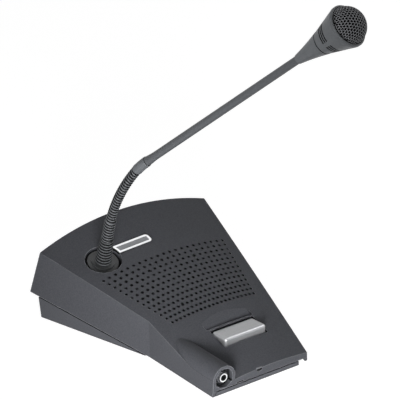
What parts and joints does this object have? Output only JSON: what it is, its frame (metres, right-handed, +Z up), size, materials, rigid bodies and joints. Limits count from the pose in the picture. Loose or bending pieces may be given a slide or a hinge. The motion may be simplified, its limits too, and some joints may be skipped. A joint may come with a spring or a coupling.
{
  "type": "paging call station",
  "caption": "Wedge-shaped desk call station with a perforated grille, a hinged talk key, a headset jack under a hood and a microphone on a bendable gooseneck.",
  "frame": {"origin": "centre of the anti-slip pad on the desk, half way between the front and rear edges of the top", "axes": "+X to the user's right, +Y to the back, +Z up"},
  "size_m": [0.1698, 0.2784, 0.3159],
  "materials": {
    "charcoal_plastic": "fine-grained moulded plastic",
    "tray_plastic": "moulded plastic",
    "steel": "zinc-plated steel",
    "rubber": "anti-slip rubber",
    "cloth": "black cloth",
    "paper": "pressed paper",
    "ferrite": "ferrite",
    "key_silver": "silver-painted plastic",
    "board": "solder-masked board",
    "black_gloss": "black plastic",
    "white_plastic": "white plastic",
    "chrome": "chromed",
    "smoked": "smoked window",
    "light": "clear lamp",
    "black_metal": "black coated metal",
    "grey_metal": "matt charcoal lacquer",
    "aluminium": "plain"
  },
  "bodies": {
    "base": {"top_cover": "charcoal_plastic", "bottom_tray": "tray_plastic", "ballast_plate": "steel", "base_pad": "rubber", "cover_screws": "steel", "speaker_gauze": "cloth", "speaker_frame": "steel", "speaker_cone": "paper", "speaker_magnet": "ferrite", "speaker_screws": "steel", "key_hinge_pin": "steel", "key_springs": "steel", "key_board": "board", "key_switch": "black_gloss", "board_screws": "steel", "main_board": "board", "network_socket": "black_gloss", "headset_jack": "black_gloss", "jack_ring": "chrome", "status_frame": "chrome", "status_window": "smoked", "status_lights": "light", "neck_flange": "tray_plastic", "neck_nut": "steel", "neck_boot": "rubber"},
    "key": {"talk_key": "key_silver"},
    "plunger": {"switch_plunger": "white_plastic"},
    "neck": {"gooseneck_flex": "black_metal"},
    "arm": {"stem_collar": "grey_metal", "stem_tube": "grey_metal", "mic_cone": "charcoal_plastic", "mic_barrel": "charcoal_plastic", "mic_dome": "black_metal", "mic_foam": "cloth", "capsule_carrier": "tray_plastic", "mic_capsule": "aluminium"}
  },
  "joints": [
    {"name": "key_press", "type": "hinge", "parent": "base", "child": "key", "pos_m": [0, -0.0436, 0.01739], "axis": [1, 0, 0], "range_deg": [0, 6], "stiffness_Nm_per_rad": 0.25, "springref_deg": -3.44, "deforming": ["key_springs"]},
    {"name": "plunger_press", "type": "slide", "parent": "base", "child": "plunger", "axis": [0, 0, -1], "range_m": [0, 0.0016]},
    {"name": "neck_nod", "type": "hinge", "parent": "base", "child": "neck", "pos_m": [-0.04888, 0.03926, 0.09642], "axis": [0.7924, 0.544, 0.2761], "range_deg": [-40, 30], "deforming": ["gooseneck_flex"]},
    {"name": "neck_sway", "type": "hinge", "parent": "neck", "child": "arm", "pos_m": [-0.04852, 0.02348, 0.12648], "axis": [-0.6064, 0.6525, 0.4545], "range_deg": [-35, 35], "deforming": ["gooseneck_flex"]}
  ],
  "couplings": [
    {"joint": "plunger_press", "follows": "key_press", "m_per_rad": 0.01434}
  ]
}
